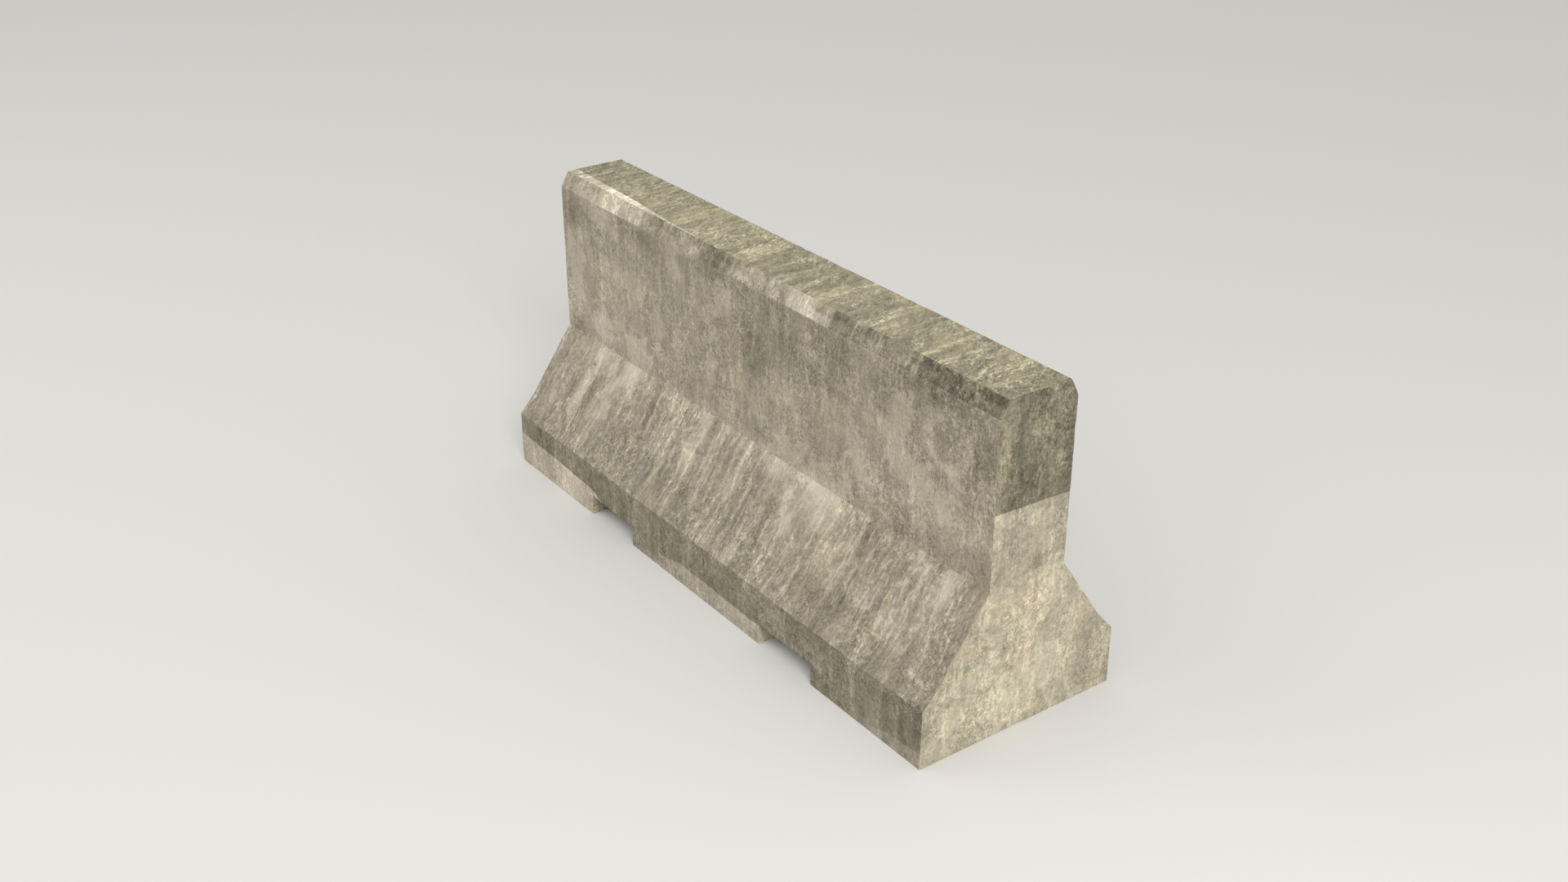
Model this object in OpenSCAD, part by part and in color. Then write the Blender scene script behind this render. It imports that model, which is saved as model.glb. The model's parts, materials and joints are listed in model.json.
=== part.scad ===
// Precast concrete jersey barrier: a plain-ended unit on three feet, with two fork
// slots through the foot. A tied cage of steel bar is cast inside the concrete.
// Origin: centre of the footprint, on the ground. +X runs along the barrier, the
// front face looks along -Y, and +Z is up. Millimetres.

/* [Concrete] */
// Overall length along X
length = 1830; // [1600:10:2200]
// Overall height
height = 857; // [820:1:900]
// Width of the foot on the ground
foot_width = 586; // [570:1:620]
// Width at the top of the upright foot face
toe_width = 583; // [565:1:583]
// Height of the upright foot face
toe_height = 153; // [140:1:165]
// Width where the shoulder meets the slope
shoulder_width = 485; // [475:1:500]
// Height where the shoulder meets the slope
shoulder_height = 208; // [200:1:220]
// Thickness of the upright wall
wall_width = 223; // [215:1:240]
// Height where the slope meets the wall
break_height = 395; // [385:1:410]
// Width of the flat top
top_width = 176; // [150:1:200]
// Height of the chamfer along each top edge
chamfer_height = 41; // [30:1:50]

/* [Fork slots] */
// Distance from the middle of the barrier to the middle of a slot
slot_offset = 403; // [380:1:430]
// Width of a slot along X
slot_width = 211; // [160:1:220]
// Height of a slot above the ground
slot_height = 57; // [40:1:60]

/* [Reinforcement] */
// Diameter of the stirrups and the short bars
stirrup_d = 10; // [8:1:10]
// Diameter of the bars that run the whole length
bar_d = 12; // [10:1:12]
// Inside radius of a bend
bend_inside = 25; // [22:1:30]
// Least concrete between a bar and an outside face
cover = 40; // [36:1:42]
// Number of stirrup stations along the barrier
stations = 7; // [5:2:7]
// Distance that a base stirrup stands in from its wall stirrup
lap_step = 40; // [30:1:60]
// Diameter of the tie wire
wire_d = 1.6; // [1.2:0.2:2]

/* [Hidden] */
$fn = 48;
bar_gap = 0.5;    // clear distance between crossing bars
tie_clear = 1;    // room between a wire loop and the outsides of its two bars
skin = 1;         // paste left over the end of a spacer
past = 5;         // how far a cutter runs past a face

half_profile = [
    [foot_width / 2, 0],
    [toe_width / 2, toe_height],
    [shoulder_width / 2, shoulder_height],
    [wall_width / 2, break_height],
    [wall_width / 2, height - chamfer_height],
    [top_width / 2, height],
];

function mirrored(points) = [for (i = [len(points) - 1 : -1 : 0]) [-points[i].x, points[i].y]];
function rest(list) = [for (i = [1 : 1 : len(list) - 1]) list[i]];

// Cage levels and offsets, in the Y-Z plane of a stirrup
half_stirrup = stirrup_d / 2;
bend_r = bend_inside + half_stirrup;
row_step = (stirrup_d + bar_d) / 2 + bar_gap;
leg_y = floor(wall_width / 2 - cover - half_stirrup);
row_y = leg_y - row_step;
top_z = height - cover - half_stirrup;
bottom_z = slot_height + cover + 3 * half_stirrup;
leg_end_z = bottom_z - half_stirrup;
lap_z = 640;

// The headings that a bend turns +X to. The slanting legs have a slope of 4 in 3.
square = [0, 1];
shallow = [4 / 5, 3 / 5];
sharp = [-3 / 5, 4 / 5];

// Base stirrup: how far a bend cuts into its legs, and the corners, with the slanting leg
// as far out as the cover under the slope allows
knee_cut = bend_r / 3;
corner_cut = bend_r * 2;
slope_run = half_profile[3] - half_profile[2];
slope_cover = (cover + half_stirrup) * norm(slope_run) / slope_run.y;
reach = half_profile[2].x - slope_cover
    + (bottom_z - half_profile[2].y) * slope_run.x / slope_run.y;
knee_rise = 4 * floor((reach - leg_y) / 3);
knee_z = bottom_z + knee_rise;
corner_y = leg_y + knee_rise * 3 / 4;

// Bars that run the whole length: [name, y, z, slant of the stirrup leg outside it]
up_the_slant = 150;
slant_row = [corner_y, bottom_z] + up_the_slant * sharp - row_step * shallow;
rows = [
    ["top_bar", row_y, top_z - bend_r - 2, 0],
    ["upper_bar", row_y, 620, 0],
    ["lower_bar", row_y, 450, 0],
    ["slope_bar", slant_row.x, slant_row.y, atan2(shallow.y, shallow.x)],
    ["toe_bar", corner_y - corner_cut, bottom_z + row_step, -90],
    ["inner_bar", row_y, bottom_z + row_step, 0],
];
bar_length = length - 2 * cover;

// Stirrup stations: the end ones lie clear of the end hairpins' bends
station_reach = length / 2 - cover - 3 * half_stirrup;
function station_x(i) = station_reach * (2 * i / (stations - 1) - 1);
function base_station_x(i) = station_x(i) - lap_step * (station_x(i) > 1 ? 1 : -1);

// End hairpins, inside the stirrup legs
hairpin_levels = [700, 540];
hairpin_y = leg_y - stirrup_d - bar_gap;
hairpin_x = length / 2 - cover - half_stirrup;
hairpin_leg = 330;

// Short bars over the fork slots
slot_bar_y = 130;
slot_bar_z = bottom_z - stirrup_d - bar_gap;
slot_bar_length = slot_width + 400;

// Mortar pieces that hold the cage off the mould
wall_spacer = 40;
wall_spacer_levels = [740, 490];
wall_spacer_stations = [1, (stations - 1) / 2, stations - 2];
chair_y = 175;
chair_foot_d = 52;
chair_top_d = 26;
function over_foot(x) = abs(abs(x) - slot_offset) > (slot_width + chair_foot_d) / 2;
chair_stations = [for (i = [0 : 2 : stations - 1]) if (over_foot(base_station_x(i))) i];

sides = [-1, 1];
ends = [-1, 1];
side_names = ["front", "back"];
end_names = ["left", "right"];
level_names = ["upper", "lower"];

concrete_colour = [0.63, 0.60, 0.52];
steel_colour = [0.42, 0.34, 0.28];
wire_colour = [0.30, 0.28, 0.26];
mortar_colour = [0.72, 0.70, 0.66];

// ---- Bar shapes ----

// Lays a drawing made in X-Y upright across the barrier: X to Y, Y to Z
module across(x) {
    translate([x, 0, 0])
        rotate([90, 0, 90])
            children();
}

// Turns its children so that +X points along the heading
module turned(heading) {
    multmatrix([
        [heading.x, -heading.y, 0, 0],
        [heading.y, heading.x, 0, 0],
        [0, 0, 1, 0],
        [0, 0, 0, 1],
    ])
        children();
}

// The stretch of a ring about the origin that turns a bar left from +X to the heading
module bend_ring(heading, r, d) {
    far = 3 * r;
    intersection() {
        rotate_extrude()
            translate([r, 0])
                circle(d = d);
        translate([0, 0, -d])
            linear_extrude(2 * d)
                polygon(concat(
                    [[0, 0], [0, -far], [far, -far]],
                    heading.x < 0 ? [[far, far]] : [],
                    [far * [heading.y, -heading.x]]
                ));
    }
}

// A round bar in a flat plane. It sets off along +X from the origin. After each run but
// the last comes a turn: a heading, and 1 to turn left or -1 to turn right.
module bent_bar(runs, turns, r, d) {
    run = runs[0];
    rotate([0, 90, 0])
        cylinder(d = d, h = run);
    if (len(turns) > 0) {
        heading = turns[0][0];
        left = turns[0][1];
        translate([run, left * r, 0]) {
            mirror([0, left > 0 ? 0 : 1, 0])
                bend_ring(heading, r, d);
            turned([heading.x, left * heading.y])
                translate([0, -left * r, 0])
                    bent_bar(rest(runs), rest(turns), r, d);
        }
    }
}

// ---- The cage ----

// Inverted U over the wall, with both legs down into the foot
module wall_stirrup(i) {
    leg = top_z - bend_r - leg_end_z;
    color(steel_colour)
        across(station_x(i))
            translate([leg_y, leg_end_z])
                rotate([0, 0, 90])
                    bent_bar(
                        [leg, 2 * (leg_y - bend_r), leg],
                        [[square, 1], [square, 1]],
                        bend_r, stirrup_d
                    );
}

// U in the foot: under the slopes, then up beside the wall stirrup as a lap
module base_stirrup(i) {
    lap = lap_z - knee_z - knee_cut;
    slant = knee_rise * 5 / 4 - knee_cut - corner_cut;
    bottom = 2 * (corner_y - corner_cut);
    color(steel_colour)
        across(base_station_x(i))
            translate([leg_y, lap_z])
                rotate([0, 0, -90])
                    bent_bar(
                        [lap, slant, bottom, slant, lap],
                        [[shallow, 1], [sharp, -1], [sharp, -1], [shallow, 1]],
                        bend_r, stirrup_d
                    );
}

module long_bar(row, side) {
    color(steel_colour)
        translate([0, side * row[1], row[2]])
            rotate([0, 90, 0])
                cylinder(d = bar_d, h = bar_length, center = true);
}

// Horizontal U that ties the two wall faces together at an end
module end_hairpin(end, level) {
    leg = hairpin_leg - bend_r;
    color(steel_colour)
        translate([end * (hairpin_x - hairpin_leg), end * -hairpin_y, level])
            rotate([0, 0, end > 0 ? 0 : 180])
                bent_bar(
                    [leg, 2 * (hairpin_y - bend_r), leg],
                    [[square, 1], [square, 1]],
                    bend_r, stirrup_d
                );
}

// Straight bar over a fork slot, under the base stirrups
module slot_bar(end, side) {
    color(steel_colour)
        translate([end * slot_offset, side * slot_bar_y, slot_bar_z])
            rotate([0, 90, 0])
                cylinder(d = stirrup_d, h = slot_bar_length, center = true);
}

// ---- Small pieces of the cage ----

// Mortar blocks between the wall stirrups and the mould
module wall_spacers() {
    inner = leg_y + half_stirrup + bar_gap;
    outer = wall_width / 2 - skin;
    color(mortar_colour)
        for (i = wall_spacer_stations, z = wall_spacer_levels, side = sides)
            translate([station_x(i), side * (inner + outer) / 2, z])
                cube([wall_spacer, outer - inner, wall_spacer], center = true);
}

// Mortar cones that carry every second base stirrup off the casting bed, clear of the slots
module base_chairs() {
    tall = bottom_z - half_stirrup - bar_gap - skin;
    color(mortar_colour)
        for (i = chair_stations, side = sides)
            translate([base_station_x(i), side * chair_y, skin])
                cylinder(d1 = chair_foot_d, d2 = chair_top_d, h = tall);
}

// Loop of wire round a long bar and the stirrup leg outside it
module tie(x, row, side) {
    inner_r = (bar_d + bar_gap + stirrup_d) / 2 + tie_clear;
    to_middle = (bar_gap + stirrup_d) / 2;
    middle = [row[1], row[2]] + to_middle * [cos(row[3]), sin(row[3])];
    translate([x, side * middle.x, middle.y])
        rotate([side * row[3], 0, 0])
            rotate([0, 45, 0])
                linear_extrude(wire_d, center = true)
                    difference() {
                        circle(r = inner_r + wire_d);
                        circle(r = inner_r);
                    }
}

// Every second crossing is tied, turn about along each row
module tie_wires() {
    color(wire_colour)
        for (j = [0 : len(rows) - 1], i = [0 : stations - 1], side = sides)
            if ((i + j) % 2 == 0) {
                on_base_stirrup = rows[j][0] == "slope_bar" || rows[j][0] == "toe_bar";
                tie(on_base_stirrup ? base_station_x(i) : station_x(i), rows[j], side);
            }
}

module cage() {
    for (i = [0 : stations - 1]) {
        wall_stirrup(i);
        base_stirrup(i);
    }
    for (row = rows, side = sides)
        long_bar(row, side);
    for (end = ends, level = hairpin_levels)
        end_hairpin(end, level);
    for (end = ends, side = sides)
        slot_bar(end, side);
    wall_spacers();
    base_chairs();
    tie_wires();
}

// ---- The concrete ----

module fork_slot(end) {
    translate([end * slot_offset, 0, slot_height / 2 - past])
        cube([slot_width, foot_width + 2 * past, slot_height + 2 * past], center = true);
}

// The casting, with an exact hollow where each piece of the cage lies in it
module concrete_body() {
    color(concrete_colour)
        difference() {
            across(-length / 2)
                linear_extrude(length)
                    polygon(concat(half_profile, mirrored(half_profile)));
            for (end = ends)
                fork_slot(end);
            cage();
        }
}

// ---- Placement ----

concrete_body();
for (i = [0 : stations - 1]) {
    wall_stirrup(i);
    base_stirrup(i);
}
for (row = rows, k = [0, 1])
    long_bar(row, sides[k]);
for (e = [0, 1], k = [0, 1]) {
    end_hairpin(ends[e], hairpin_levels[k]);
    slot_bar(ends[e], sides[k]);
}
wall_spacers();
base_chairs();
tie_wires();
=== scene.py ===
"""The looks of a precast concrete jersey barrier: its weathered casting, and the steel cage inside it.

Everything is in metres, in the barrier's own frame: +X along it, the front face towards -Y, +Z up.
"""
import json
import math

import bmesh
import bpy
import numpy
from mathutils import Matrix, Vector, kdtree, noise


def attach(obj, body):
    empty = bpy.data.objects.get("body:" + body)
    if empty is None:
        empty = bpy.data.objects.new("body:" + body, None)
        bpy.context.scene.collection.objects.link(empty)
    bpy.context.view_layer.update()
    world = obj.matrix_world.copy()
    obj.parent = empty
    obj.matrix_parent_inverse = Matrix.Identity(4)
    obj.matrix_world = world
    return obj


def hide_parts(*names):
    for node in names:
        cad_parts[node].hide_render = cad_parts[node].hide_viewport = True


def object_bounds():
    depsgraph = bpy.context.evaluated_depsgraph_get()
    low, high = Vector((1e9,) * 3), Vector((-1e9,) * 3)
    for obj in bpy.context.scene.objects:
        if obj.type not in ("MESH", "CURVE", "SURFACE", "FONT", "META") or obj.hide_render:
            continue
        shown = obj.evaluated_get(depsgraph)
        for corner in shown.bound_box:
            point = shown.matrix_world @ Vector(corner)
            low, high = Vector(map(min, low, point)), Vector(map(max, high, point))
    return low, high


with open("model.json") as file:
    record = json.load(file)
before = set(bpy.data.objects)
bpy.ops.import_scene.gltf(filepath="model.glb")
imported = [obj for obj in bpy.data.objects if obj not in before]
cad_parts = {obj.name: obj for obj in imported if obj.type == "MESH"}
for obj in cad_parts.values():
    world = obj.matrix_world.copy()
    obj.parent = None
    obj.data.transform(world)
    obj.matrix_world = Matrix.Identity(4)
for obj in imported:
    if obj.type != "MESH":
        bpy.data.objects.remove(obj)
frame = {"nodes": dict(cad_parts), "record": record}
cad_low, cad_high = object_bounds()

# ---- Sizes of the casting, from the frame's box ----

HALF_LENGTH = cad_high.x
HEIGHT = cad_high.z
FOOT_HALF = cad_high.y
TOE_HALF, TOE_TOP = 0.2915, 0.153
SHOULDER_HALF, SHOULDER_TOP = 0.2425, 0.208
WALL_HALF, BREAK_HEIGHT = 0.1115, 0.395
CHAMFER_FOOT = HEIGHT - 0.041
TOP_HALF = 0.088
SLOT_MIDDLE, SLOT_WIDTH, SLOT_HEIGHT = 0.403, 0.211, 0.057
SLOT_NEAR = SLOT_MIDDLE - SLOT_WIDTH / 2
SLOT_FAR = SLOT_MIDDLE + SLOT_WIDTH / 2

# Half of the cross-section, from the ground up: (distance from the middle plane, height)
PROFILE = [
    (FOOT_HALF, 0.0),
    (FOOT_HALF - (FOOT_HALF - TOE_HALF) * SLOT_HEIGHT / TOE_TOP, SLOT_HEIGHT),
    (TOE_HALF, TOE_TOP),
    (SHOULDER_HALF, SHOULDER_TOP),
    (WALL_HALF, BREAK_HEIGHT),
    (WALL_HALF, CHAMFER_FOOT),
    (TOP_HALF, HEIGHT),
]

# Mesh and wear
CELL = 0.0098          # spacing of the grid on open faces
EDGE_STEPS = (0.0015, 0.0055)  # how far the grid's first two lines are from an edge
WEAR_REACH = 0.008     # how far from an edge it is chipped
CHIP_DEPTH = 0.0013
CHIPS = (26.0, 0.28, 2.2)  # noise scale, the level where a chip starts, and its gain
NICKS = (90.0, 0.25, 0.8)  # the same for smaller ones
WAVE_DEPTH = 0.0004    # how far an open face wanders in from flat
WAVE_SCALE = 3.0
PITS_WANTED = 70
PIT_RADIUS = (0.0009, 0.0025)  # smallest and largest
PIT_DEPTH = 0.8        # depth against radius
PIT_ROOM = 0.007       # shortest side of a grid quad that takes a pit
SEED_STEP = 7.31       # keeps one noise field apart from the next
SHARP_ANGLE = 35       # degrees between faces, above which their edge is shaded sharp


def srgb(red, green, blue):
    """A colour picked on a screen, 0 to 255, as the linear values that a shader takes."""
    def linear(value):
        value /= 255
        return value / 12.92 if value <= 0.04045 else ((value + 0.055) / 1.055) ** 2.4
    return (linear(red), linear(green), linear(blue), 1.0)


# ---- Node graphs ----

class Graph:
    """Builds a material's nodes. A value or a colour is either a socket or plain numbers."""

    def __init__(self, name):
        self.material = bpy.data.materials.new(name)
        self.material.use_nodes = True
        self.tree = self.material.node_tree
        self.shader = self.tree.nodes["Principled BSDF"]
        self.coords = self.tree.nodes.new("ShaderNodeTexCoord")
        self.geometry = self.tree.nodes.new("ShaderNodeNewGeometry")

    def feed(self, socket, value):
        if isinstance(value, bpy.types.NodeSocket):
            self.tree.links.new(value, socket)
        else:
            socket.default_value = value

    def math(self, operation, *values):
        node = self.tree.nodes.new("ShaderNodeMath")
        node.operation = operation
        for socket, value in zip(node.inputs, values):
            self.feed(socket, value)
        return node.outputs[0]

    def add(self, *values):
        total = values[0]
        for value in values[1:]:
            total = self.math("ADD", total, value)
        return total

    def sub(self, a, b):
        return self.math("SUBTRACT", a, b)

    def mul(self, *values):
        product = values[0]
        for value in values[1:]:
            product = self.math("MULTIPLY", product, value)
        return product

    def most(self, *values):
        largest = values[0]
        for value in values[1:]:
            largest = self.math("MAXIMUM", largest, value)
        return largest

    def split(self, vector):
        node = self.tree.nodes.new("ShaderNodeSeparateXYZ")
        self.feed(node.inputs[0], vector)
        return node.outputs

    def join(self, x, y, z):
        node = self.tree.nodes.new("ShaderNodeCombineXYZ")
        for socket, value in zip(node.inputs, (x, y, z)):
            self.feed(socket, value)
        return node.outputs[0]

    def ramp(self, value, low, high):
        """Climbs smoothly from 0 to 1 as value goes from low to high, or falls if high is lower."""
        node = self.tree.nodes.new("ShaderNodeMapRange")
        node.interpolation_type = "SMOOTHSTEP"
        ends = (low, high, 0.0, 1.0) if low < high else (high, low, 1.0, 0.0)
        self.feed(node.inputs["Value"], value)
        for name, number in zip(("From Min", "From Max", "To Min", "To Max"), ends):
            node.inputs[name].default_value = number
        return node.outputs["Result"]

    def window(self, value, low, high, soft):
        """1 between low and high, fading over soft at each side."""
        rise = self.ramp(value, low - soft / 2, low + soft / 2)
        fall = self.ramp(value, high + soft / 2, high - soft / 2)
        return self.mul(rise, fall)

    def curve(self, value, low, high, points, stepped=False):
        """Reads a level from points of (place, level), where place runs from low to high."""
        node = self.tree.nodes.new("ShaderNodeValToRGB")
        stops = node.color_ramp.elements
        node.color_ramp.interpolation = "CONSTANT" if stepped else "LINEAR"
        while len(stops) < len(points):
            stops.new(1.0)
        for stop, (place, level) in zip(stops, points):
            stop.position = (place - low) / (high - low)
            stop.color = (level, level, level, 1.0)
        self.feed(node.inputs[0], self.math("DIVIDE", self.sub(value, low), high - low))
        return node.outputs["Color"]

    def noise(self, vector, scale, detail, rough, twist=0.0):
        node = self.tree.nodes.new("ShaderNodeTexNoise")
        self.feed(node.inputs["Vector"], vector)
        node.inputs["Scale"].default_value = scale
        node.inputs["Detail"].default_value = detail
        node.inputs["Roughness"].default_value = rough
        node.inputs["Distortion"].default_value = twist
        return node.outputs["Fac"]

    def mix(self, factor, a, b):
        """A colour between a and b."""
        node = self.tree.nodes.new("ShaderNodeMix")
        node.data_type = "RGBA"
        self.feed(node.inputs["Factor"], factor)
        self.feed(node.inputs[6], a)
        self.feed(node.inputs[7], b)
        return node.outputs[2]

    def lerp(self, factor, a, b):
        """A number between a and b."""
        node = self.tree.nodes.new("ShaderNodeMix")
        self.feed(node.inputs["Factor"], factor)
        self.feed(node.inputs[2], a)
        self.feed(node.inputs[3], b)
        return node.outputs[0]

    def bump(self, height, distance, strength):
        node = self.tree.nodes.new("ShaderNodeBump")
        node.inputs["Strength"].default_value = strength
        node.inputs["Distance"].default_value = distance
        self.feed(node.inputs["Height"], height)
        return node.outputs[0]

    def finish(self, colour, roughness, normal=None, metallic=None):
        self.feed(self.shader.inputs["Base Color"], colour)
        self.feed(self.shader.inputs["Roughness"], roughness)
        if normal is not None:
            self.feed(self.shader.inputs["Normal"], normal)
        if metallic is not None:
            self.feed(self.shader.inputs["Metallic"], metallic)
        return self.material


# ---- Weathered concrete ----
# The concrete's colour is a tone, 0 to 255 as on a screen, times a hue whose red, green and blue
# average 1.

WHITE = 255.0
SCREEN_GAMMA = 2.2
STONE_HUE = (1.097, 1.032, 0.871, 1.0)
CHALKY_HUE = (1.068, 1.016, 0.916, 1.0)
MOSSY_HUE = (1.094, 1.042, 0.864, 1.0)
CREAM_HUE = (1.084, 1.036, 0.880, 1.0)
PEACHY_HUE = (1.104, 1.022, 0.874, 1.0)

# How each face weathers: its even tone, how strongly it is streaked, crusted and mottled, and
# how far its grain is drawn out (1 not at all, less is longer)
FACE_TONE = dict(toe=108, shoulder=124, slope=131, wall=136, chamfer=0, top=137, end=153)
STREAKED = dict(toe=0.4, shoulder=0.7, slope=0.85, wall=0.4, chamfer=0.7, top=0.85, end=0.5)
CRUSTED = dict(toe=0.2, shoulder=0.8, slope=0.7, wall=0.15, chamfer=0.6, top=1.3, end=0.6)
ROUGH = dict(toe=0.75, shoulder=0.9, slope=0.93, wall=0.93, chamfer=1.1, top=0.95, end=1.0)
DRAWN = dict(toe=0.9, shoulder=0.75, slope=0.7, wall=0.85, chamfer=0.8, top=0.55, end=0.85)

# How much tone each kind of weathering adds, or takes away
CLOUD_TONE = 22.0
WASH_TONE = 50.0
MOTTLE_TONE = 72.0
WISP_TONE = 32.0
FURROW_TONE = -10.0
CRUST_TONE = 22.0
FLAKE_TONE = 11.0
FLAKE_RIM_TONE = 8.0
CHIP_TONE = 14.0
HOLLOW_TONE = -13.0
GRAIN_TONE = 80.0
CRUST_GRAIN_TONE = 60.0  # added to the grain's where the crust is thick
# White specks: painted glints, and pale grains
SPECK_GLINT_TONE = 60.0
RUN_TONE = 22.0
DAMP_TONE = -52.0
SOILED_TONE = -26.0
TOP_END_TONE = -20.0
END_PALE_TONE = 13.0
DARK_TONE = -11.0
TINT_TONE = 14.0
DRIP_TONE = -16.0
AREA_TONE = 15.0
PEELED_TONE = 14.0
WHITE_RUN_TONE = 9.0

# Pale stains hide what is under them: the tone they have, and how far they cover
PALE_COVER = (174.0, 0.36)
WHITE_COVER = (178.0, 0.46)
THIN_CRUST = 0.4       # how much crust there is where it is thinnest
CHAMFER_LIGHT = 0.94   # the share of its tone that a chamfer keeps, and so for the wedge
WEDGE_LIGHT = 0.95

# Stains on a long side: (along, height, half width, half height), metres. Along is +X on the
# front, and the other way on the back, so it always runs from the left to the right.
PALE_PATCHES = [
    (-0.75, 0.80, 0.06, 0.03), (-0.35, 0.76, 0.04, 0.05), (-0.10, 0.74, 0.05, 0.05),
    (-0.42, 0.55, 0.04, 0.05), (-0.17, 0.54, 0.03, 0.07), (0.45, 0.54, 0.04, 0.05),
    (0.58, 0.68, 0.06, 0.10), (0.45, 0.52, 0.03, 0.08), (-0.53, 0.44, 0.06, 0.05),
    (0.31, 0.42, 0.15, 0.04), (0.74, 0.55, 0.08, 0.06), (-0.72, 0.47, 0.05, 0.04),
    (-0.86, 0.60, 0.05, 0.12),
]
WHITE_RUNS = [
    (-0.70, 0.37, 0.05, 0.04), (-0.56, 0.37, 0.07, 0.05), (0.26, 0.37, 0.13, 0.05),
    (0.14, 0.38, 0.05, 0.03), (0.26, 0.28, 0.02, 0.08), (-0.60, 0.30, 0.03, 0.08),
    (0.71, 0.38, 0.03, 0.03), (-0.72, 0.25, 0.02, 0.10), (-0.18, 0.31, 0.03, 0.06),
    (0.80, 0.35, 0.02, 0.05),
]
DARK_PATCHES = [
    (-0.48, 0.77, 0.05, 0.04), (0.15, 0.72, 0.07, 0.06), (0.65, 0.80, 0.08, 0.02),
    (-0.82, 0.77, 0.06, 0.04), (-0.77, 0.30, 0.03, 0.06), (-0.67, 0.29, 0.02, 0.06),
    (0.11, 0.32, 0.02, 0.05), (0.19, 0.30, 0.02, 0.07), (0.50, 0.34, 0.07, 0.06),
    (0.86, 0.72, 0.06, 0.10), (0.03, 0.62, 0.06, 0.08), (0.52, 0.72, 0.05, 0.05),
    (0.76, 0.80, 0.16, 0.03), (0.40, 0.79, 0.05, 0.04),
]
# Broad areas that are lighter or darker than the rest of their face
LIGHT_AREAS = [
    (-0.70, 0.47, 0.22, 0.08), (-0.74, 0.36, 0.20, 0.06), (-0.05, 0.39, 0.45, 0.02),
    (-0.75, 0.34, 0.06, 0.06), (0.455, 0.54, 0.025, 0.05),
    (0.70, 0.50, 0.08, 0.05),
]
SHADED_AREAS = [
    (0.70, 0.78, 0.26, 0.05), (-0.12, 0.80, 0.35, 0.03), (0.34, 0.78, 0.12, 0.05),
    (0.02, 0.68, 0.12, 0.07), (0.87, 0.70, 0.05, 0.09), (0.30, 0.68, 0.08, 0.05),
    (-0.30, 0.23, 0.20, 0.03), (0.10, 0.23, 0.16, 0.03), (0.45, 0.22, 0.10, 0.02),
    (-0.88, 0.76, 0.04, 0.05),
]
PEELED_PATCHES = [(0.755, 0.700, 0.055, 0.055)]
DRIPS = [
    (-0.265, 0.42, 0.015, 0.045), (-0.147, 0.43, 0.010, 0.065), (0.035, 0.42, 0.012, 0.040),
    (0.713, 0.43, 0.009, 0.060), (0.600, 0.41, 0.025, 0.030), (-0.870, 0.41, 0.050, 0.030),
]
PEACH_PATCHES = [
    (-0.60, 0.64, 0.12, 0.03), (-0.53, 0.61, 0.03, 0.03), (0.35, 0.60, 0.06, 0.04),
    (-0.04, 0.58, 0.03, 0.08), (0.16, 0.57, 0.04, 0.04), (0.43, 0.28, 0.08, 0.07),
    (0.83, 0.52, 0.06, 0.04), (-0.68, 0.57, 0.04, 0.03),
]

# Cream runs down a long side, and across the top: (along, half width, strength). A side's are
# in two lists, because one colour ramp holds too few points for all of them.
SIDE_RUNS = [
    (-0.805, 0.010, 0.5), (-0.710, 0.012, 0.7), (-0.635, 0.022, 1.0), (-0.375, 0.008, 0.5),
    (-0.275, 0.012, 0.9), (-0.215, 0.012, 0.6), (-0.165, 0.014, 0.8), (-0.100, 0.010, 0.7),
    (-0.040, 0.008, 0.6), (0.020, 0.010, 0.5),
]
SIDE_RUNS_RIGHT = [
    (0.125, 0.014, 0.7), (0.170, 0.010, 0.5), (0.235, 0.020, 0.9), (0.335, 0.014, 0.5),
    (0.585, 0.012, 0.9), (0.670, 0.020, 1.0), (0.765, 0.012, 0.8), (0.835, 0.010, 0.7),
    (0.880, 0.010, 0.6),
]
TOP_RUNS = [
    (-0.700, 0.024, 0.9), (-0.500, 0.012, 0.4), (-0.177, 0.014, 0.8), (-0.072, 0.010, 0.9),
    (0.100, 0.010, 0.4), (0.258, 0.018, 1.0), (0.355, 0.012, 0.7), (0.630, 0.022, 1.0),
    (0.690, 0.018, 1.0), (0.785, 0.012, 0.8),
]

# Height of the upper edge of the clean band on the feet, and how much lighter the band is:
# (along, height) and (along, tone)
CLEAN_BAND = [
    (-0.915, 0.093), (-0.510, 0.080), (-0.300, 0.004), (-0.065, 0.058), (0.300, 0.053),
    (0.515, 0.002), (0.680, 0.006), (0.800, 0.034), (0.915, 0.042),
]
CLEAN_TONES = [
    (-0.915, 42), (-0.730, 48), (-0.670, 68), (-0.590, 66), (-0.510, 52), (-0.300, 14),
    (-0.100, 32), (0.200, 44), (0.300, 50), (0.515, 4), (0.700, 18), (0.915, 24),
]

# Tone of a chamfer, and of the pale wedge beside it on the top: (along, tone)
CHAMFER_TONES = [
    (-0.915, 160), (-0.730, 162), (-0.710, 186), (-0.610, 186), (-0.580, 172), (-0.490, 166),
    (-0.440, 144), (-0.230, 140), (-0.170, 130), (-0.090, 134), (-0.050, 150), (0.050, 156),
    (0.162, 154), (0.166, 180), (0.322, 173), (0.330, 138), (0.400, 134), (0.560, 120),
    (0.720, 128), (0.800, 116), (0.915, 110),
]
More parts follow.
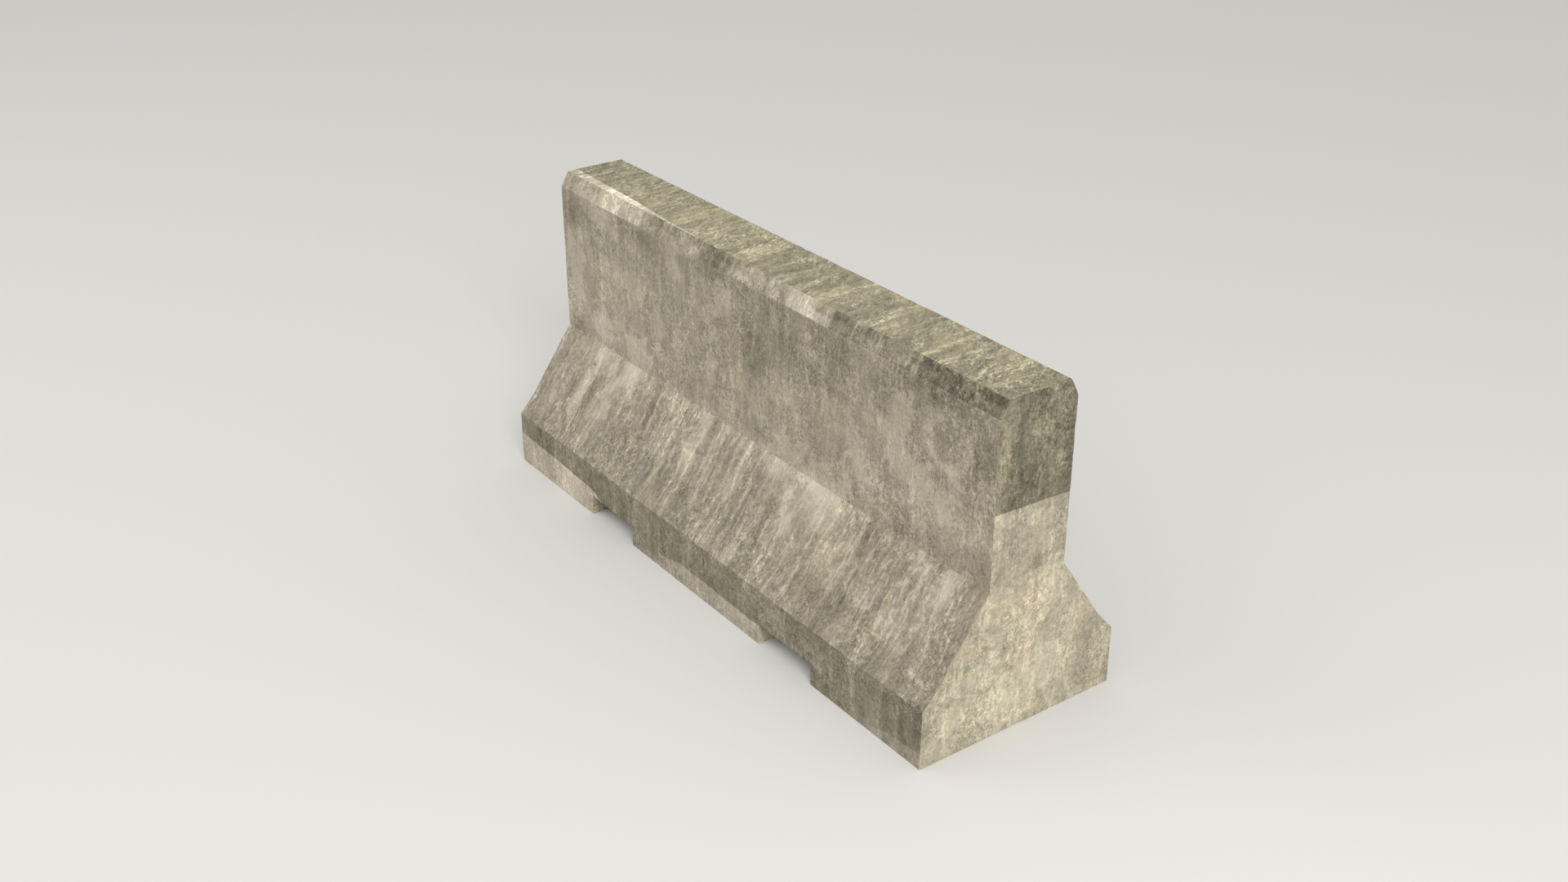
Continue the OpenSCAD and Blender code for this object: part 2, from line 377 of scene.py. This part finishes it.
# How much darker its upper part is: (along, how much)
SOILED = [
    (-0.915, 0.2), (-0.540, 0.1), (-0.530, 0.5), (-0.440, 0.6), (-0.200, 0.5), (-0.150, 0.8),
    (-0.060, 0.6), (0.000, 0.4), (0.200, 0.1), (0.245, 0.2), (0.260, 1.0), (0.360, 0.8),
    (0.400, 0.4), (0.480, 0.4), (0.640, 0.9), (0.740, 0.6), (0.820, 0.6), (0.835, 1.2),
]
WEDGE_TONES = [
    (-0.915, 190), (-0.730, 200), (-0.700, 230), (-0.560, 230), (-0.510, 194), (-0.200, 174),
]
WEDGE_WIDTH = [(-0.915, 0.031), (-0.560, 0.020), (-0.420, 0.008), (-0.200, 0.0)]

# An end is dark and mossy from this height up, along a line that falls towards the back
END_DAMP = 0.584
DAMP_LEAN = 0.038

# Stains on an end: (across, height, half width, half height). Across runs from the left to
# the right of whoever faces that end.
END_LIGHT = [
    (-0.08, 0.09, 0.20, 0.12), (0.03, 0.20, 0.04, 0.12), (-0.085, 0.80, 0.028, 0.06),
    (-0.085, 0.80, 0.022, 0.10), (-0.095, 0.67, 0.016, 0.08), (0.02, 0.03, 0.10, 0.03),
]
END_PALE = [
    (-0.04, 0.13, 0.13, 0.07), (-0.17, 0.18, 0.05, 0.03), (0.07, 0.34, 0.04, 0.07),
    (0.02, 0.55, 0.06, 0.02), (-0.09, 0.52, 0.01, 0.07), (-0.20, 0.10, 0.06, 0.04),
    (-0.085, 0.82, 0.025, 0.06), (-0.090, 0.72, 0.012, 0.08), (0.030, 0.76, 0.016, 0.08),
]
END_CREAM = [
    (-0.02, 0.34, 0.07, 0.04), (-0.12, 0.36, 0.05, 0.03), (0.00, 0.20, 0.03, 0.04),
    (-0.15, 0.27, 0.04, 0.03), (0.20, 0.26, 0.04, 0.04),
]
END_DARK = [(0.22, 0.06, 0.09, 0.07), (-0.28, 0.10, 0.02, 0.08), (0.03, 0.43, 0.02, 0.02)]


def scaled(tones):
    """Tones of 0 to 255 as levels of 0 to 1."""
    return [(place, tone / WHITE) for place, tone in tones]


class Weathering:
    """Where a point of the casting is, its tone so far, and the fields that its faces share."""

    def __init__(self, graph):
        g = self.g = graph
        self.place = g.coords.outputs["Object"]
        self.x, self.y, self.z = g.split(self.place)
        normal_x, normal_y, normal_z = g.split(g.geometry.outputs["True Normal"])
        self.end = g.ramp(g.math("ABSOLUTE", normal_x), 0.6, 0.8)
        self.top = g.mul(g.ramp(normal_z, 0.9, 0.96), g.ramp(self.z, 0.83, 0.84))
        self.underside = g.ramp(normal_z, -0.9, -0.96)
        self.along = g.mul(self.x, g.mul(g.math("SIGN", self.y), -1.0))
        self.drawn = self.by_face(**DRAWN)
        self.wander = g.mul(g.sub(g.noise(self.shifted(9.0), 7.0, 3.0, 0.6), 0.5), 0.05)

        # On the top the grain leans over
        lean = g.mul(self.y, self.top, 0.5)
        self.leaning = g.add(g.lerp(self.end, self.x, self.y), self.wander, lean)

        self.side = g.sub(1.0, g.most(self.end, self.top, self.underside))
        self.tone = self.by_face(**FACE_TONE)
        self.streaked = self.by_face(**STREAKED)
        self.crusted = self.by_face(**CRUSTED)
        self.rough = self.by_face(**ROUGH)

    def lighten(self, amount, *masks):
        """Adds an amount of tone as far as the masks say, or darkens if it is below 0."""
        self.tone = self.g.add(self.tone, self.g.mul(*masks, amount))

    def cover(self, mask, tone):
        """Puts another tone over what is there."""
        self.tone = self.g.lerp(mask, self.tone, tone)

    def lengthwise(self, place, points):
        """A level read from points of (place, level) along the barrier."""
        return self.g.curve(place, -HALF_LENGTH, HALF_LENGTH, points)

    def sloping(self):
        """1 on the sides below the break where the slope meets the wall."""
        return self.g.mul(self.side, self.g.math("LESS_THAN", self.z, BREAK_HEIGHT))

    def shifted(self, offset):
        return self.g.join(self.g.add(self.x, offset), self.y, self.g.sub(self.z, offset))

    def by_face(self, toe, shoulder, slope, wall, chamfer, top, end):
        """A level for each face."""
        g = self.g
        side = g.curve(self.z, 0.0, HEIGHT, [
            (0.0, toe), (TOE_TOP, shoulder), (SHOULDER_TOP, slope),
            (BREAK_HEIGHT, wall), (CHAMFER_FOOT, chamfer),
        ], stepped=True)
        return g.lerp(self.end, g.lerp(self.top, side, top), end)

    def grained(self, scale, detail, rough, offset=0.0, twist=0.0):
        """Noise about 0, drawn out along each face as far as that face's grain is."""
        g = self.g
        across = g.add(self.leaning, offset)
        aside = g.mul(g.lerp(self.end, self.y, self.x), self.drawn)
        vector = g.join(across, aside, g.mul(self.z, self.drawn))
        return g.sub(g.noise(vector, scale, detail, rough, twist), 0.5)

    def field(self, scale, detail, rough, stretch=1.0, offset=0.0, twist=0.0):
        """Noise about 0. A stretch below 1 draws it out along the way that water runs."""
        g = self.g
        across = g.add(g.lerp(self.end, self.x, self.y), self.wander, offset)
        aside = g.lerp(self.end, self.y, self.x)
        if stretch == 1.0:
            vector = self.shifted(offset)
        else:
            vector = g.join(across, g.mul(aside, stretch), g.mul(self.z, stretch))
        return g.sub(g.noise(vector, scale, detail, rough, twist), 0.5)

    def painted(self, name):
        """The three levels of stain that the mesh carries under this name."""
        node = self.g.tree.nodes.new("ShaderNodeAttribute")
        node.attribute_name = name
        return self.g.split(node.outputs["Vector"])

    def specks(self, scale, radius):
        """Bright specks, each in a cell of its own: pale grains at the surface and painted glints."""
        node = self.g.tree.nodes.new("ShaderNodeTexVoronoi")
        self.g.feed(node.inputs["Vector"], self.place)
        node.inputs["Scale"].default_value = scale
        return self.g.ramp(node.outputs["Distance"], scale * radius, 0.0)

    def runs(self, value, lines):
        """Narrow lines at fixed places along the barrier."""
        points = [(-HALF_LENGTH, 0.0)]
        for at, half_width, strength in lines:
            points += [(at - half_width, 0.0), (at, strength), (at + half_width, 0.0)]
        return self.g.curve(value, -HALF_LENGTH, HALF_LENGTH, points)


def clean_band(w):
    """The clean band on the feet, whose edge is sharp in some places and faint in others."""
    g = w.g
    edge = g.add(w.lengthwise(w.along, CLEAN_BAND), g.mul(w.wander, 0.2))
    below = g.sub(edge, w.z)
    faint = g.most(g.window(w.along, -0.32, -0.12, 0.1), g.window(w.along, 0.50, 0.76, 0.1))
    clean = g.lerp(faint, g.ramp(below, -0.002, 0.003), g.ramp(below, -0.015, 0.025))
    clean = g.mul(clean, w.side, g.ramp(w.z, TOE_TOP, 0.12))
    w.lighten(WHITE, clean, w.lengthwise(w.along, scaled(CLEAN_TONES)))


def damp_ends(w):
    """The damp upper part of the ends. Returns where it is."""
    g = w.g
    line = g.add(w.z, g.mul(w.y, DAMP_LEAN))
    damp = g.mul(w.end, g.ramp(line, END_DAMP - 0.002, END_DAMP + 0.002))
    w.lighten(DAMP_TONE, damp)
    return damp


def chamfers(w):
    """The chamfers, soiled along parts of their upper edge. Returns where they are soiled."""
    g = w.g
    chamfer = g.mul(w.side, g.math("GREATER_THAN", w.z, CHAMFER_FOOT))
    tone = w.lengthwise(w.along, scaled(CHAMFER_TONES))
    w.cover(chamfer, g.mul(tone, WHITE * CHAMFER_LIGHT))
    upper = g.ramp(w.z, CHAMFER_FOOT + 0.016, CHAMFER_FOOT + 0.026)
    soiled = g.mul(w.lengthwise(w.along, SOILED), upper, chamfer)
    w.lighten(SOILED_TONE, soiled)
    return soiled


def top_face(w):
    """The top, darker towards its right end. Returns where the pale wedge at its left is."""
    g = w.g
    w.lighten(TOP_END_TONE, g.ramp(w.x, 0.78, 0.93), w.top)
    width = w.lengthwise(w.x, WEDGE_WIDTH)
    wedge = g.ramp(g.sub(g.add(width, -TOP_HALF), w.y), -0.001, 0.001)
    wedge = g.mul(wedge, w.top, g.ramp(w.x, -0.2, -0.25))
    tone = w.lengthwise(w.x, scaled(WEDGE_TONES))
    w.cover(wedge, g.mul(tone, WHITE * WEDGE_LIGHT))
    return wedge


def clouds_and_washes(w):
    """Clouds, washed streaks and a mottle. Returns the mottle."""
    clouds = w.field(3.0, 2.0, 0.5, offset=3.0)
    wash = w.field(18.0, 2.0, 0.6, stretch=0.10, offset=1.0)
    mottle = w.grained(16.0, 3.0, 0.9)
    w.lighten(CLOUD_TONE, clouds)
    w.lighten(WASH_TONE, wash, w.streaked)
    w.lighten(MOTTLE_TONE, mottle, w.rough)
    return mottle


def wisps(w):
    """Thin wisps that run down the faces, broken into beads. Returns the beads."""
    g = w.g
    streak = w.field(54.0, 2.0, 0.7, stretch=0.075, offset=2.0)
    beads = g.ramp(w.field(70.0, 2.0, 0.8, stretch=0.5, offset=7.0), -0.16, 0.12)
    wisp = g.mul(g.ramp(streak, 0.03, 0.08), beads)
    furrow = g.ramp(streak, -0.03, -0.12)
    w.lighten(WISP_TONE, wisp, w.streaked)
    w.lighten(FURROW_TONE, furrow, w.streaked)
    return beads


def pale_crust(w):
    """Small pale grains on a darker skin. Returns where they lie thick, and the grains."""
    g = w.g
    thick = g.ramp(w.field(9.0, 3.0, 0.6, stretch=0.6, offset=8.0), -0.10, 0.10)
    crust = g.ramp(w.grained(75.0, 2.0, 0.8, offset=4.0), 0.06, 0.13)
    crust = g.mul(crust, g.add(thick, THIN_CRUST))
    w.lighten(CRUST_TONE, crust, w.crusted)
    return thick, crust


def flakes(w, thick):
    """Flakes with sharp outlines, large and small. Returns the two fields they are cut from."""
    g = w.g
    large = w.field(10.0, 6.0, 0.66, stretch=0.8, offset=6.0, twist=0.6)
    w.lighten(FLAKE_TONE, g.ramp(large, 0.040, 0.050), w.side)
    w.lighten(FLAKE_RIM_TONE, g.window(large, 0.022, 0.034, 0.006), w.side)
    small = w.grained(42.0, 4.0, 0.72, offset=11.0, twist=0.4)
    w.lighten(CHIP_TONE, g.ramp(small, 0.06, 0.09), g.add(thick, THIN_CRUST), w.rough)
    w.lighten(HOLLOW_TONE, g.ramp(small, -0.07, -0.11), w.rough)
    return large, small


def fine_grain(w, thick):
    """Fine grain, stronger where the crust is thick, and a few white specks. Returns the grain."""
    g = w.g
    grain = w.grained(150.0, 2.0, 0.9)
    strength = g.add(g.mul(thick, CRUST_GRAIN_TONE), GRAIN_TONE)
    w.tone = g.add(w.tone, g.mul(grain, strength))
    # White specks: painted glints, and pale grains at the surface
    w.lighten(SPECK_GLINT_TONE, w.specks(26.0, 0.0013))
    return grain


def flaking_stains(w, crumble):
    """Pale, dark and white stains whose edges flake away."""
    g = w.g

    def on_faces(side_level, end_level):
        side_part = g.mul(g.ramp(g.add(side_level, crumble), 0.46, 0.56), w.side)
        end_part = g.mul(g.ramp(g.add(end_level, crumble), 0.46, 0.56), w.end)
        return g.add(side_part, end_part)

    side_pale, side_dark, white = w.painted("side_patches")
    end_pale, end_dark, _ = w.painted("end_patches")
    pale = on_faces(side_pale, end_pale)
    dark = on_faces(side_dark, end_dark)
    white = g.mul(white, g.ramp(crumble, -0.6, 0.1), w.sloping())
    tone, share = PALE_COVER
    w.cover(g.mul(pale, w.side, share), tone)
    tone, share = WHITE_COVER
    w.cover(g.mul(white, share), tone)
    w.lighten(WHITE_RUN_TONE, white)
    w.lighten(END_PALE_TONE, pale, w.end)
    w.lighten(DARK_TONE, dark)


def soft_stains(w):
    """Tints, drips, and broad lighter and darker areas. Returns where the tints are."""
    g = w.g
    peach, drips, peeled = w.painted("side_marks")
    cream = w.painted("end_patches")[2]
    light, shaded, end_light = w.painted("areas")
    tint = g.add(g.mul(peach, w.side), g.mul(cream, w.end))
    w.lighten(TINT_TONE, tint)
    w.lighten(DRIP_TONE, drips, w.side)
    area = g.lerp(w.end, g.mul(g.sub(light, shaded), g.sub(1.0, w.top)), end_light)
    w.lighten(AREA_TONE, area)
    w.lighten(PEELED_TONE, g.window(peeled, 0.25, 0.55, 0.2), w.side)
    return tint


def cream_runs(w, beads):
    """Cream runs down the slopes and across the top. Returns where they are."""
    g = w.g
    aside = g.mul(w.wander, 0.6)
    line = g.add(w.along, aside)
    side_runs = g.most(w.runs(line, SIDE_RUNS), w.runs(line, SIDE_RUNS_RIGHT))
    top_runs = w.runs(g.add(w.x, aside), TOP_RUNS)
    run = g.add(g.mul(side_runs, w.sloping()), g.mul(top_runs, w.top))
    run = g.mul(run, beads)
    w.lighten(RUN_TONE, run)
    return run


def concrete_hue(w, mossy, creamy, tint):
    """Stone, chalkier where it is lighter, then cream on the ends, moss, crust and tints."""
    g = w.g
    hue = g.mix(g.ramp(w.tone, 90.0, 185.0), STONE_HUE, CHALKY_HUE)
    hue = g.mix(g.mul(w.end, 0.5), hue, CREAM_HUE)
    hue = g.mix(mossy, hue, MOSSY_HUE)
    hue = g.mix(creamy, hue, CREAM_HUE)
    return g.mix(g.mul(tint, 0.6), hue, PEACHY_HUE)


def weathered_concrete():
    g = Graph("weathered_concrete")
    w = Weathering(g)
    clean_band(w)
    damp = damp_ends(w)
    soiled = chamfers(w)
    wedge = top_face(w)
    mottle = clouds_and_washes(w)
    beads = wisps(w)
    thick, crust = pale_crust(w)
    large, small = flakes(w, thick)
    grain = fine_grain(w, thick)
    flaking_stains(w, g.add(small, g.mul(large, 3.0)))
    tint = soft_stains(w)
    run = cream_runs(w, beads)

    mossy = g.most(g.mul(w.top, g.sub(1.0, wedge)), damp, g.mul(soiled, 0.8))
    creamy = g.most(g.mul(crust, w.crusted), run)
    hue = g.split(concrete_hue(w, mossy, creamy, tint))
    level = g.mul(w.tone, 1 / WHITE)
    colour = g.join(*(g.math("POWER", g.mul(level, part), SCREEN_GAMMA) for part in hue))
    normal = g.bump(g.add(grain, mottle, small), 0.002, 0.5)
    roughness = g.add(0.9, g.mul(mottle, 0.3))
    return g.finish(colour, roughness, normal)


# ---- Steel, wire and mortar inside the casting ----

def rusted_steel(name, bare, rust, rust_low, rust_high):
    g = Graph(name)
    place = g.coords.outputs["Object"]
    bloom = g.noise(place, 60.0, 6.0, 0.65)
    fleck = g.noise(place, 700.0, 3.0, 0.6)
    rusted = g.ramp(g.add(bloom, g.mul(g.sub(fleck, 0.5), 0.35)), rust_low, rust_high)
    tone = g.mix(g.ramp(fleck, 0.35, 0.65), rust, tuple(0.55 * c for c in rust[:3]) + (1.0,))
    colour = g.mix(rusted, bare, tone)
    normal = g.bump(g.add(g.mul(rusted, 0.4), fleck), 0.0004, 0.5)
    return g.finish(colour, g.lerp(rusted, 0.42, 0.9), normal, g.sub(1.0, rusted))


def mortar():
    g = Graph("mortar")
    place = g.coords.outputs["Object"]
    sand = g.noise(place, 900.0, 2.0, 0.7)
    cloud = g.noise(place, 25.0, 4.0, 0.55)
    colour = g.mix(g.ramp(cloud, 0.3, 0.7), srgb(168, 163, 152), srgb(190, 186, 176))
    colour = g.mix(g.mul(g.ramp(sand, 0.55, 0.75), 0.5), colour, srgb(120, 112, 98))
    return g.finish(colour, g.add(0.8, g.mul(cloud, 0.15)), g.bump(sand, 0.0006, 0.6))


# ---- The casting's mesh ----

def steps(length):
    """Distances along an edge of a face: close together beside each end, then even."""
    inner = length - 2 * EDGE_STEPS[-1]
    if inner < EDGE_STEPS[-1]:
        return [0.0, length / 4, length / 2, length * 3 / 4, length]
    count = max(1, round(inner / CELL))
    middle = [EDGE_STEPS[-1] + inner * i / count for i in range(count + 1)]
    tail = [length - step for step in reversed(EDGE_STEPS[:-1])]
    return [0.0, *EDGE_STEPS[:-1], *middle, *tail, length]


class Casting:
    """Patches of quads, one for each flat face, that share the points along their edges."""

    def __init__(self):
        self.points = {}
        self.places = []
        self.quads = []
        breaks = [-HALF_LENGTH, -SLOT_FAR, -SLOT_NEAR, SLOT_NEAR, SLOT_FAR, HALF_LENGTH]
        self.spans = [
            [low + step for step in steps(high - low)]
            for low, high in zip(breaks, breaks[1:])
        ]
        across = steps(2 * TOP_HALF)
        self.fractions = [2 * step / across[-1] - 1 for step in across]
        self.edges = []
        for (y0, z0), (y1, z1) in zip(PROFILE, PROFILE[1:]):
            run = math.hypot(y1 - y0, z1 - z0)
            self.edges.append([
                (y0 + (y1 - y0) * step / run, z0 + (z1 - z0) * step / run)
                for step in steps(run)
            ])

    def point(self, place):
        key = tuple(round(value * 1e6) for value in place)
        if key not in self.points:
            self.points[key] = len(self.places)
            self.places.append(place)
        return self.points[key]

    def patch(self, rows):
        """Quads between neighbouring rows of places."""
        for row, following in zip(rows, rows[1:]):
            for i in range(len(row) - 1):
                corners = (row[i], row[i + 1], following[i + 1], following[i])
                self.quads.append([self.point(corner) for corner in corners])

    def build(self):
        for index, span in enumerate(self.spans):
            in_slot = index in (1, 3)
            floor_half, floor = PROFILE[1] if in_slot else PROFILE[0]
            for side in (-1, 1):
                for edge in self.edges[1 if in_slot else 0:]:
                    self.patch([[(x, side * y, z) for x in span] for y, z in edge])
            for half, height in ((TOP_HALF, HEIGHT), (floor_half, floor)):
                self.patch([[(x, f * half, height) for x in span] for f in self.fractions])
        for x in (-SLOT_FAR, -SLOT_NEAR, SLOT_NEAR, SLOT_FAR):
            self.patch([[(x, f * y, z) for f in self.fractions] for y, z in self.edges[0]])
        levels = [level for edge in self.edges for level in edge]
        for x in (-HALF_LENGTH, HALF_LENGTH):
            self.patch([[(x, f * y, z) for f in self.fractions] for y, z in levels])
        mesh = bmesh.new()
        verts = [mesh.verts.new(place) for place in self.places]
        for quad in self.quads:
            if len(set(quad)) == 4:
                mesh.faces.new([verts[i] for i in quad])
        bmesh.ops.recalc_face_normals(mesh, faces=mesh.faces)
        return mesh


def face_normals(vert):
    """The different directions that the faces round a vertex look in."""
    found = []
    for face in vert.link_faces:
        if all(face.normal.dot(other) < 0.999 for other in found):
            found.append(face.normal.copy())
    return found


def is_outer_edge(vert, normals):
    """Whether the faces meet outwards here, as at an arris, and not inwards."""
    for face in vert.link_faces:
        for normal in normals:
            if (face.calc_center_median() - vert.co).dot(normal) > 1e-5:
                return False
    return True


def fractal(place, scale, seed):
    """Smooth noise of four octaves, about -1 to 1."""
    return noise.fractal(Vector(place) * scale + Vector((seed * SEED_STEP,) * 3), 0.9, 2.0, 4)


def broken_off(place, kind, seed):
    """How much is chipped off here, 0 for nothing."""
    scale, start, gain = kind
    return max(0.0, fractal(place, scale, seed) - start) * gain


def wear(mesh):
    """Rounds and chips the arrises, and lets the open faces wander a little."""
    mesh.normal_update()
    normals = {vert: face_normals(vert) for vert in mesh.verts}
    arris = [v for v in mesh.verts if len(normals[v]) > 1 and is_outer_edge(v, normals[v])]
    tree = kdtree.KDTree(len(arris))
    for i, vert in enumerate(arris):
        tree.insert(vert.co, i)
    tree.balance()
    arris_set = set(arris)
    moves = {}
    for vert in mesh.verts:
        outward = sum(normals[vert], Vector()).normalized()
        spread = outward.dot(normals[vert][0])
        move = 0.0
        if vert in arris_set:
            turn = 2 * math.acos(min(1.0, spread))
            move += EDGE_STEPS[0] * math.tan(turn / 4)
        away = tree.find(vert.co)[2]
        if away < WEAR_REACH:
            chipped = broken_off(vert.co, CHIPS, 1) + broken_off(vert.co, NICKS, 2)
            near = 1 - away / WEAR_REACH
            move += CHIP_DEPTH * min(1.0, chipped) * near * near
        elif len(normals[vert]) == 1 and vert.co.z > 0.0005:
            move += WAVE_DEPTH * (0.5 + 0.5 * fractal(vert.co, WAVE_SCALE, 3))
        moves[vert] = -move * outward
    for vert, move in moves.items():
        vert.co += move


def dent(mesh, face, radius, depth):
    """Turns one quad of the grid into a small round air hole."""
    middle = face.calc_center_median()
    inward = -face.normal
    corners = [loop.vert for loop in face.loops]
    sides = []
    for i, vert in enumerate(corners):
        neighbour = corners[(i + 1) % 4]
        sides += [vert.co - middle, (vert.co + neighbour.co) / 2 - middle]
    directions = [(s + inward * -s.dot(inward)).normalized() for s in sides]
    narrow, sunk = 0.72, 0.75  # the lower ring's width and depth, against the whole hole's
    rim = [mesh.verts.new(middle + d * radius) for d in directions]
    below = middle + inward * depth * sunk
    low = [mesh.verts.new(below + d * radius * narrow) for d in directions]
    bottom = mesh.verts.new(middle + inward * depth)
    mesh.faces.remove(face)
    for i in range(4):
        a, b = 2 * i, (2 * i + 2) % 8
        mesh.faces.new([corners[i], corners[(i + 1) % 4], rim[b], rim[a + 1], rim[a]])
    for i in range(8):
        following = (i + 1) % 8
        mesh.faces.new([rim[i], rim[following], low[following], low[i]])
        mesh.faces.new([low[i], low[following], bottom])


def pit(mesh):
    """Scatters small air holes over the upright and sloping faces."""
    open_faces = [
        face for face in mesh.faces
        if abs(face.normal.z) < 0.95
        and min(edge.calc_length() for edge in face.edges) > PIT_ROOM
    ]
    stride = max(1, len(open_faces) // PITS_WANTED)
    chosen = []
    for i in range(0, len(open_faces) - stride, stride):
        middle = open_faces[i].calc_center_median()
        jump = round((0.5 + 0.5 * noise.noise(middle * 800)) * (stride - 1))
        chosen.append(open_faces[i + jump])
    for face in chosen:
        size = 0.5 + 0.5 * noise.noise(face.calc_center_median() * 517)
        smallest, largest = PIT_RADIUS
        radius = smallest + (largest - smallest) * size * size
        dent(mesh, face, radius, radius * PIT_DEPTH)


def levels(across, height, spots, soft):
    """How far inside the spots each point lies: 0 outside, 1 well inside, 0.5 on an outline."""
    found = numpy.zeros(len(across))
    for at, up, half_width, half_height in spots:
        reach = numpy.hypot((across - at) / half_width, (height - up) / half_height)
        found = numpy.maximum(found, numpy.clip((1 + soft - reach) / (2 * soft), 0, 1))
    return found


def paint(data):
    """Gives the mesh its stains as attributes, for the material to read."""
    places = numpy.empty(3 * len(data.vertices))
    data.vertices.foreach_get("co", places)
    x, y, z = places.reshape(-1, 3).T
    along = numpy.where(y < 0, x, -x)
    across = numpy.where(x > 0, y, -y)
    painted = {
        "side_patches": (
            levels(along, z, PALE_PATCHES, 0.9),
            levels(along, z, DARK_PATCHES, 0.9),
            levels(along, z, WHITE_RUNS, 0.6),
        ),
        "side_marks": (
            levels(along, z, PEACH_PATCHES, 0.7),
            levels(along, z, DRIPS, 0.4),
            levels(along, z, PEELED_PATCHES, 0.9),
        ),
        "areas": (
            levels(along, z, LIGHT_AREAS, 0.9),
            levels(along, z, SHADED_AREAS, 0.9),
            levels(across, z, END_LIGHT, 0.9),
        ),
        "end_patches": (
            levels(across, z, END_PALE, 0.8),
            levels(across, z, END_DARK, 0.8),
            levels(across, z, END_CREAM, 0.7),
        ),
    }
    for name, channels in painted.items():
        attribute = data.attributes.new(name, "FLOAT_VECTOR", "POINT")
        attribute.data.foreach_set("vector", numpy.stack(channels, axis=1).ravel())


def concrete_casting():
    mesh = Casting().build()
    wear(mesh)
    pit(mesh)
    data = bpy.data.meshes.new("concrete_casting")
    mesh.to_mesh(data)
    mesh.free()
    paint(data)
    data.shade_smooth()
    data.set_sharp_from_angle(angle=math.radians(SHARP_ANGLE))
    casting = bpy.data.objects.new("concrete_casting", data)
    bpy.context.scene.collection.objects.link(casting)
    casting.data.materials.append(weathered_concrete())
    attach(casting, "root")
    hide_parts("concrete_body")


# ---- The cage keeps its CAD shape and gets its finishes ----

def finish_cage():
    slots = {part["node"]: part["material_slot"] for part in frame["record"]["subparts"]}
    finishes = {
        "rebar_steel": rusted_steel("rebar_steel", srgb(104, 102, 100), srgb(122, 72, 42), 0.38, 0.56),
        "tie_wire": rusted_steel("tie_wire", srgb(72, 70, 70), srgb(96, 60, 38), 0.55, 0.70),
        "mortar": mortar(),
    }
    for name, piece in frame["nodes"].items():
        if slots[name] in finishes:
            piece.data.materials.clear()
            piece.data.materials.append(finishes[slots[name]])


# ---- Floor, light and camera ----

def pale_floor():
    bpy.ops.mesh.primitive_plane_add(size=60.0)
    floor = bpy.context.object
    floor.name = "floor"
    g = Graph("floor")
    g.feed(g.shader.inputs["Base Color"], srgb(222, 221, 218))
    g.feed(g.shader.inputs["Roughness"], 0.9)
    floor.data.materials.append(g.material)


def softbox(name, place, aim, size, power):
    light = bpy.data.lights.new(name, "AREA")
    light.shape = "DISK"
    light.size = size
    light.energy = power
    lamp = bpy.data.objects.new(name, light)
    lamp.location = place
    lamp.rotation_euler = (Vector(aim) - Vector(place)).to_track_quat("-Z", "Y").to_euler()
    bpy.context.scene.collection.objects.link(lamp)


def studio():
    world = bpy.data.worlds.new("studio")
    world.use_nodes = True
    world.node_tree.nodes["Background"].inputs["Color"].default_value = (1.0, 0.99, 0.97, 1.0)
    world.node_tree.nodes["Background"].inputs["Strength"].default_value = 0.72
    bpy.context.scene.world = world
    middle = (0.0, 0.0, 0.4)
    softbox("key", (6.0, -3.0, 5.0), middle, 4.0, 320.0)
    softbox("fill", (-4.0, -5.0, 5.0), middle, 5.0, 80.0)
    bpy.context.scene.view_settings.view_transform = "Standard"


def camera():
    """Three-quarter from the front right and above."""
    turn, rise, distance = math.radians(53.96), math.radians(27.28), 4.497
    aim = Vector((-0.0055, 0.0047, 0.3504))
    back = Vector((
        math.sin(turn) * math.cos(rise),
        -math.cos(turn) * math.cos(rise),
        math.sin(rise),
    ))
    data = bpy.data.cameras.new("camera")
    data.sensor_width = 36.0
    data.lens = 39.65
    eye = bpy.data.objects.new("camera", data)
    eye.location = aim + back * distance
    eye.rotation_euler = (-back).to_track_quat("-Z", "Y").to_euler()
    bpy.context.scene.collection.objects.link(eye)
    bpy.context.scene.camera = eye


camera()
studio()
pale_floor()
concrete_casting()
finish_cage()
